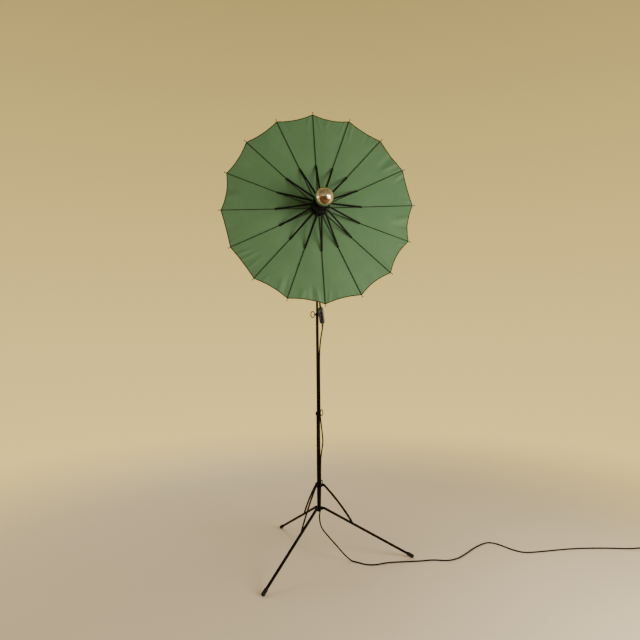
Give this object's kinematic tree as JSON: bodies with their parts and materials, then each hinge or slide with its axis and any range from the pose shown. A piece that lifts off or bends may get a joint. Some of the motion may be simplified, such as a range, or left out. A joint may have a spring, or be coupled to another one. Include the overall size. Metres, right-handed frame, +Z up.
{
  "type": "umbrella reflector lamp on stand",
  "caption": "Floor-standing umbrella reflector: ribbed cloth shade round a mirrored bulb, on a tilting head and a telescopic folding tripod, with a switched lead.",
  "frame": {"origin": "on the floor, in the middle of the footprint box of the stand and shade without the lead; the pole stands at x -0.0132, y -0.0059", "axes": "+Z up along the pole; the shade faces -Y with its bulb, turned 8.2 degrees towards +X and tilted 5 degrees up"},
  "size_m": [2.0099, 0.7533, 2.0341],
  "materials": {
    "black_paint": "satin black enamel over steel tube and sheet",
    "black_link": "semi-gloss black lacquer",
    "nickel": "tarnished nickel plate",
    "black_rubber": "matt moulded rubber",
    "black_plastic": "black phenolic moulding",
    "lead_black": "plain black flexible plastic sheath",
    "rib_steel": "dark lacquered steel",
    "sage_cloth": "satin-faced sage green umbrella cloth",
    "mirrored_glass": "crown-silvered glass"
  },
  "bodies": {
    "lower_post": {"lower_tube": "black_paint", "lead_lower": "lead_black", "plug": "black_plastic"},
    "collar": {"tripod_collar": "black_paint"},
    "collar_screw": {"collar_screw": "nickel"},
    "leg_1": {"leg_1": "black_paint", "foot_1": "black_rubber"},
    "brace_1": {"brace_1": "black_link"},
    "leg_2": {"leg_2": "black_paint", "foot_2": "black_rubber"},
    "brace_2": {"brace_2": "black_link"},
    "leg_3": {"leg_3": "black_paint", "foot_3": "black_rubber"},
    "brace_3": {"brace_3": "black_link"},
    "middle_clamp_screw": {"middle_clamp_screw": "nickel"},
    "middle_post": {"middle_tube": "black_paint", "switch_body": "black_plastic"},
    "upper_clamp_screw": {"upper_clamp_screw": "nickel"},
    "switch_rocker": {"switch_rocker": "black_plastic"},
    "upper_post": {"upper_tube": "black_paint", "lead_upper": "lead_black"},
    "head": {"tilt_yoke": "black_paint"},
    "tilt_knob": {"tilt_knob": "black_plastic"},
    "shade": {"shade_hub": "black_paint", "lamp_holder": "black_plastic", "bulb": "mirrored_glass", "canopy": "sage_cloth"},
    "runner": {"runner": "black_plastic"},
    "rib_01": {"rib_01": "rib_steel"},
    "stretcher_01": {"stretcher_01": "black_link"},
    "rib_02": {"rib_02": "rib_steel"},
    "stretcher_02": {"stretcher_02": "black_link"},
    "rib_03": {"rib_03": "rib_steel"},
    "stretcher_03": {"stretcher_03": "black_link"},
    "rib_04": {"rib_04": "rib_steel"},
    "stretcher_04": {"stretcher_04": "black_link"},
    "rib_05": {"rib_05": "rib_steel"},
    "stretcher_05": {"stretcher_05": "black_link"},
    "rib_06": {"rib_06": "rib_steel"},
    "stretcher_06": {"stretcher_06": "black_link"},
    "rib_07": {"rib_07": "rib_steel"},
    "stretcher_07": {"stretcher_07": "black_link"},
    "rib_08": {"rib_08": "rib_steel"},
    "stretcher_08": {"stretcher_08": "black_link"},
    "rib_09": {"rib_09": "rib_steel"},
    "stretcher_09": {"stretcher_09": "black_link"},
    "rib_10": {"rib_10": "rib_steel"},
    "stretcher_10": {"stretcher_10": "black_link"},
    "rib_11": {"rib_11": "rib_steel"},
    "stretcher_11": {"stretcher_11": "black_link"},
    "rib_12": {"rib_12": "rib_steel"},
    "stretcher_12": {"stretcher_12": "black_link"},
    "rib_13": {"rib_13": "rib_steel"},
    "stretcher_13": {"stretcher_13": "black_link"},
    "rib_14": {"rib_14": "rib_steel"},
    "stretcher_14": {"stretcher_14": "black_link"},
    "rib_15": {"rib_15": "rib_steel"},
    "stretcher_15": {"stretcher_15": "black_link"},
    "rib_16": {"rib_16": "rib_steel"},
    "stretcher_16": {"stretcher_16": "black_link"}
  },
  "joints": [
    {"name": "collar_slide", "type": "slide", "parent": "lower_post", "child": "collar", "axis": [0, 0, 1], "range_m": [0, 0.264]},
    {"name": "leg_1_fold", "type": "hinge", "parent": "lower_post", "child": "leg_1", "pos_m": [-0.02578, -0.02634, 0.2265], "axis": [-0.8517, 0.524, 0], "range_deg": [0, 112.69]},
    {"name": "brace_1_fold", "type": "hinge", "parent": "leg_1", "child": "brace_1", "pos_m": [-0.09474, -0.13844, 0.15454], "axis": [-0.8517, 0.524, 0], "range_deg": [-145.11, 0]},
    {"name": "leg_2_fold", "type": "hinge", "parent": "lower_post", "child": "leg_2", "pos_m": [0.01079, -0.00657, 0.2265], "axis": [-0.0279, -0.9996, 0], "range_deg": [0, 112.69]},
    {"name": "brace_2_fold", "type": "hinge", "parent": "leg_2", "child": "brace_2", "pos_m": [0.14235, -0.01025, 0.15454], "axis": [-0.0279, -0.9996, 0], "range_deg": [-145.11, 0]},
    {"name": "leg_3_fold", "type": "hinge", "parent": "lower_post", "child": "leg_3", "pos_m": [-0.02462, 0.01521, 0.2265], "axis": [0.8796, 0.4756, 0], "range_deg": [0, 112.69]},
    {"name": "brace_3_fold", "type": "hinge", "parent": "leg_3", "child": "brace_3", "pos_m": [-0.08721, 0.13098, 0.15454], "axis": [0.8796, 0.4756, 0], "range_deg": [-145.11, 0]},
    {"name": "collar_screw_turn", "type": "hinge", "parent": "collar", "child": "collar_screw", "pos_m": [-0.00665, 0.00475, 0.3335], "axis": [0.524, 0.8517, 0], "range_deg": [0, 180]},
    {"name": "middle_clamp_screw_turn", "type": "hinge", "parent": "lower_post", "child": "middle_clamp_screw", "pos_m": [-0.00517, 0.00368, 0.6625], "axis": [0.6428, 0.766, 0], "range_deg": [0, 180]},
    {"name": "middle_slide", "type": "slide", "parent": "lower_post", "child": "middle_post", "axis": [0, 0, 1], "range_m": [-0.33, 0], "deforming": ["lead_lower"]},
    {"name": "upper_clamp_screw_turn", "type": "hinge", "parent": "middle_post", "child": "upper_clamp_screw", "pos_m": [-0.0208, -0.0059, 1.119], "axis": [-1, 0, 0], "range_deg": [0, 180]},
    {"name": "switch_rock", "type": "hinge", "parent": "middle_post", "child": "switch_rocker", "pos_m": [0.0065, -0.0259, 1.114], "axis": [-0.9925, 0, -0.1219], "range_deg": [0, 16]},
    {"name": "upper_slide", "type": "slide", "parent": "middle_post", "child": "upper_post", "axis": [0, 0, 1], "range_m": [-0.25, 0], "deforming": ["lead_upper"]},
    {"name": "head_swivel", "type": "hinge", "parent": "upper_post", "child": "head", "pos_m": [-0.0132, -0.0059, 1.5835], "axis": [0, 0, 1], "range_deg": [-150, 150], "deforming": ["lead_upper"]},
    {"name": "tilt_knob_turn", "type": "hinge", "parent": "head", "child": "tilt_knob", "pos_m": [-0.0132, -0.0059, 1.5835], "axis": [-0.9898, -0.1426, 0], "range_deg": [0, 180]},
    {"name": "shade_tilt", "type": "hinge", "parent": "head", "child": "shade", "pos_m": [-0.0132, -0.0059, 1.5835], "axis": [-0.9898, -0.1426, 0], "range_deg": [-9, 75], "deforming": ["lead_upper"]},
    {"name": "runner_slide", "type": "slide", "parent": "shade", "child": "runner", "axis": [0.1421, -0.986, 0.0872], "range_m": [0, 0.048], "deforming": ["canopy"]},
    {"name": "rib_01_fold", "type": "hinge", "parent": "shade", "child": "rib_01", "pos_m": [-0.00151, -0.09619, 1.62155], "axis": [0.9883, 0.1463, 0.0435], "range_deg": [0, 13.36]},
    {"name": "stretcher_01_fold", "type": "hinge", "parent": "rib_01", "child": "stretcher_01", "pos_m": [-0.0105, -0.08399, 1.78485], "axis": [0.9883, 0.1463, 0.0435], "range_deg": [-16.97, 0]},
    {"name": "rib_02_fold", "type": "hinge", "parent": "shade", "child": "rib_02", "pos_m": [0.00996, -0.09469, 1.61978], "axis": [0.9343, 0.1045, -0.3407], "range_deg": [0, 13.36]},
    {"name": "stretcher_02_fold", "type": "hinge", "parent": "rib_02", "child": "stretcher_02", "pos_m": [0.0637, -0.07431, 1.77338], "axis": [0.9343, 0.1045, -0.3407], "range_deg": [-16.97, 0]},
    {"name": "rib_03_fold", "type": "hinge", "parent": "shade", "child": "rib_03", "pos_m": [0.01994, -0.09379, 1.61373], "axis": [0.7381, 0.0469, -0.673], "range_deg": [0, 13.36]},
    {"name": "stretcher_03_fold", "type": "hinge", "parent": "rib_03", "child": "stretcher_03", "pos_m": [0.12823, -0.06847, 1.73426], "axis": [0.7381, 0.0469, -0.673], "range_deg": [-16.97, 0]},
    {"name": "rib_04_fold", "type": "hinge", "parent": "shade", "child": "rib_04", "pos_m": [0.02691, -0.09361, 1.60432], "axis": [0.4296, -0.0179, -0.9029], "range_deg": [0, 13.36]},
    {"name": "stretcher_04_fold", "type": "hinge", "parent": "rib_04", "child": "stretcher_04", "pos_m": [0.1733, -0.06735, 1.67345], "axis": [0.4296, -0.0179, -0.9029], "range_deg": [-16.97, 0]},
    {"name": "rib_05_fold", "type": "hinge", "parent": "shade", "child": "rib_05", "pos_m": [0.02981, -0.0942, 1.593], "axis": [0.0556, -0.08, -0.9952], "range_deg": [0, 13.36]},
    {"name": "stretcher_05_fold", "type": "hinge", "parent": "rib_05", "child": "stretcher_05", "pos_m": [0.19202, -0.07113, 1.6002], "axis": [0.0556, -0.08, -0.9952], "range_deg": [-16.97, 0]},
    {"name": "rib_06_fold", "type": "hinge", "parent": "shade", "child": "rib_06", "pos_m": [0.02819, -0.09545, 1.58147], "axis": [-0.3268, -0.1298, -0.9361], "range_deg": [0, 13.36]},
    {"name": "stretcher_06_fold", "type": "hinge", "parent": "rib_06", "child": "stretcher_06", "pos_m": [0.18155, -0.07923, 1.52567], "axis": [-0.3268, -0.1298, -0.9361], "range_deg": [-16.97, 0]},
    {"name": "rib_07_fold", "type": "hinge", "parent": "shade", "child": "rib_07", "pos_m": [0.0223, -0.09718, 1.5715], "axis": [-0.6595, -0.16, -0.7345], "range_deg": [0, 13.36]},
    {"name": "stretcher_07_fold", "type": "hinge", "parent": "rib_07", "child": "stretcher_07", "pos_m": [0.14349, -0.09041, 1.46121], "axis": [-0.6595, -0.16, -0.7345], "range_deg": [-16.97, 0]},
    {"name": "rib_08_fold", "type": "hinge", "parent": "shade", "child": "rib_08", "pos_m": [0.01304, -0.09912, 1.56461], "axis": [-0.8918, -0.1657, -0.421], "range_deg": [0, 13.36]},
    {"name": "stretcher_08_fold", "type": "hinge", "parent": "rib_08", "child": "stretcher_08", "pos_m": [0.08362, -0.10298, 1.41662], "axis": [-0.8918, -0.1657, -0.421], "range_deg": [-16.97, 0]},
    {"name": "rib_09_fold", "type": "hinge", "parent": "shade", "child": "rib_09", "pos_m": [0.00182, -0.10098, 1.56184], "axis": [-0.9883, -0.1463, -0.0435], "range_deg": [0, 13.36]},
    {"name": "stretcher_09_fold", "type": "hinge", "parent": "rib_09", "child": "stretcher_09", "pos_m": [0.01107, -0.11502, 1.3987], "axis": [-0.9883, -0.1463, -0.0435], "range_deg": [-16.97, 0]},
    {"name": "rib_10_fold", "type": "hinge", "parent": "shade", "child": "rib_10", "pos_m": [-0.00965, -0.10248, 1.56361], "axis": [-0.9343, -0.1045, 0.3407], "range_deg": [0, 13.36]},
    {"name": "stretcher_10_fold", "type": "hinge", "parent": "rib_10", "child": "stretcher_10", "pos_m": [-0.06312, -0.12469, 1.41017], "axis": [-0.9343, -0.1045, 0.3407], "range_deg": [-16.97, 0]},
    {"name": "rib_11_fold", "type": "hinge", "parent": "shade", "child": "rib_11", "pos_m": [-0.01963, -0.10338, 1.56966], "axis": [-0.7381, -0.0469, 0.673], "range_deg": [0, 13.36]},
    {"name": "stretcher_11_fold", "type": "hinge", "parent": "rib_11", "child": "stretcher_11", "pos_m": [-0.12766, -0.13054, 1.44929], "axis": [-0.7381, -0.0469, 0.673], "range_deg": [-16.97, 0]},
    {"name": "rib_12_fold", "type": "hinge", "parent": "shade", "child": "rib_12", "pos_m": [-0.0266, -0.10356, 1.57906], "axis": [-0.4296, 0.0179, 0.9029], "range_deg": [0, 13.36]},
    {"name": "stretcher_12_fold", "type": "hinge", "parent": "rib_12", "child": "stretcher_12", "pos_m": [-0.17272, -0.13165, 1.5101], "axis": [-0.4296, 0.0179, 0.9029], "range_deg": [-16.97, 0]},
    {"name": "rib_13_fold", "type": "hinge", "parent": "shade", "child": "rib_13", "pos_m": [-0.02949, -0.10297, 1.59039], "axis": [-0.0556, 0.08, 0.9952], "range_deg": [0, 13.36]},
    {"name": "stretcher_13_fold", "type": "hinge", "parent": "rib_13", "child": "stretcher_13", "pos_m": [-0.19144, -0.12788, 1.58334], "axis": [-0.0556, 0.08, 0.9952], "range_deg": [-16.97, 0]},
    {"name": "rib_14_fold", "type": "hinge", "parent": "shade", "child": "rib_14", "pos_m": [-0.02787, -0.10172, 1.60191], "axis": [0.3268, 0.1298, 0.9361], "range_deg": [0, 13.36]},
    {"name": "stretcher_14_fold", "type": "hinge", "parent": "rib_14", "child": "stretcher_14", "pos_m": [-0.18097, -0.11978, 1.65787], "axis": [0.3268, 0.1298, 0.9361], "range_deg": [-16.97, 0]},
    {"name": "rib_15_fold", "type": "hinge", "parent": "shade", "child": "rib_15", "pos_m": [-0.02199, -0.09999, 1.61188], "axis": [0.6595, 0.16, 0.7345], "range_deg": [0, 13.36]},
    {"name": "stretcher_15_fold", "type": "hinge", "parent": "rib_15", "child": "stretcher_15", "pos_m": [-0.14291, -0.1086, 1.72234], "axis": [0.6595, 0.16, 0.7345], "range_deg": [-16.97, 0]},
    {"name": "rib_16_fold", "type": "hinge", "parent": "shade", "child": "rib_16", "pos_m": [-0.01273, -0.09805, 1.61878], "axis": [0.8918, 0.1657, 0.421], "range_deg": [0, 13.36]},
    {"name": "stretcher_16_fold", "type": "hinge", "parent": "rib_16", "child": "stretcher_16", "pos_m": [-0.08305, -0.09603, 1.76693], "axis": [0.8918, 0.1657, 0.421], "range_deg": [-16.97, 0]}
  ],
  "couplings": [
    {"joint": "leg_1_fold", "follows": "collar_slide", "rad_per_m": 7.4487},
    {"joint": "brace_1_fold", "follows": "collar_slide", "rad_per_m": -9.5922},
    {"joint": "leg_2_fold", "follows": "collar_slide", "rad_per_m": 7.4487},
    {"joint": "brace_2_fold", "follows": "collar_slide", "rad_per_m": -9.5922},
    {"joint": "leg_3_fold", "follows": "collar_slide", "rad_per_m": 7.4487},
    {"joint": "brace_3_fold", "follows": "collar_slide", "rad_per_m": -9.5922},
    {"joint": "rib_01_fold", "follows": "runner_slide", "rad_per_m": 4.8504},
    {"joint": "stretcher_01_fold", "follows": "runner_slide", "rad_per_m": -6.1626},
    {"joint": "rib_02_fold", "follows": "runner_slide", "rad_per_m": 4.8504},
    {"joint": "stretcher_02_fold", "follows": "runner_slide", "rad_per_m": -6.1626},
    {"joint": "rib_03_fold", "follows": "runner_slide", "rad_per_m": 4.8504},
    {"joint": "stretcher_03_fold", "follows": "runner_slide", "rad_per_m": -6.1626},
    {"joint": "rib_04_fold", "follows": "runner_slide", "rad_per_m": 4.8504},
    {"joint": "stretcher_04_fold", "follows": "runner_slide", "rad_per_m": -6.1626},
    {"joint": "rib_05_fold", "follows": "runner_slide", "rad_per_m": 4.8504},
    {"joint": "stretcher_05_fold", "follows": "runner_slide", "rad_per_m": -6.1626},
    {"joint": "rib_06_fold", "follows": "runner_slide", "rad_per_m": 4.8504},
    {"joint": "stretcher_06_fold", "follows": "runner_slide", "rad_per_m": -6.1626},
    {"joint": "rib_07_fold", "follows": "runner_slide", "rad_per_m": 4.8504},
    {"joint": "stretcher_07_fold", "follows": "runner_slide", "rad_per_m": -6.1626},
    {"joint": "rib_08_fold", "follows": "runner_slide", "rad_per_m": 4.8504},
    {"joint": "stretcher_08_fold", "follows": "runner_slide", "rad_per_m": -6.1626},
    {"joint": "rib_09_fold", "follows": "runner_slide", "rad_per_m": 4.8504},
    {"joint": "stretcher_09_fold", "follows": "runner_slide", "rad_per_m": -6.1626},
    {"joint": "rib_10_fold", "follows": "runner_slide", "rad_per_m": 4.8504},
    {"joint": "stretcher_10_fold", "follows": "runner_slide", "rad_per_m": -6.1626},
    {"joint": "rib_11_fold", "follows": "runner_slide", "rad_per_m": 4.8504},
    {"joint": "stretcher_11_fold", "follows": "runner_slide", "rad_per_m": -6.1626},
    {"joint": "rib_12_fold", "follows": "runner_slide", "rad_per_m": 4.8504},
    {"joint": "stretcher_12_fold", "follows": "runner_slide", "rad_per_m": -6.1626},
    {"joint": "rib_13_fold", "follows": "runner_slide", "rad_per_m": 4.8504},
    {"joint": "stretcher_13_fold", "follows": "runner_slide", "rad_per_m": -6.1626},
    {"joint": "rib_14_fold", "follows": "runner_slide", "rad_per_m": 4.8504},
    {"joint": "stretcher_14_fold", "follows": "runner_slide", "rad_per_m": -6.1626},
    {"joint": "rib_15_fold", "follows": "runner_slide", "rad_per_m": 4.8504},
    {"joint": "stretcher_15_fold", "follows": "runner_slide", "rad_per_m": -6.1626},
    {"joint": "rib_16_fold", "follows": "runner_slide", "rad_per_m": 4.8504},
    {"joint": "stretcher_16_fold", "follows": "runner_slide", "rad_per_m": -6.1626}
  ]
}
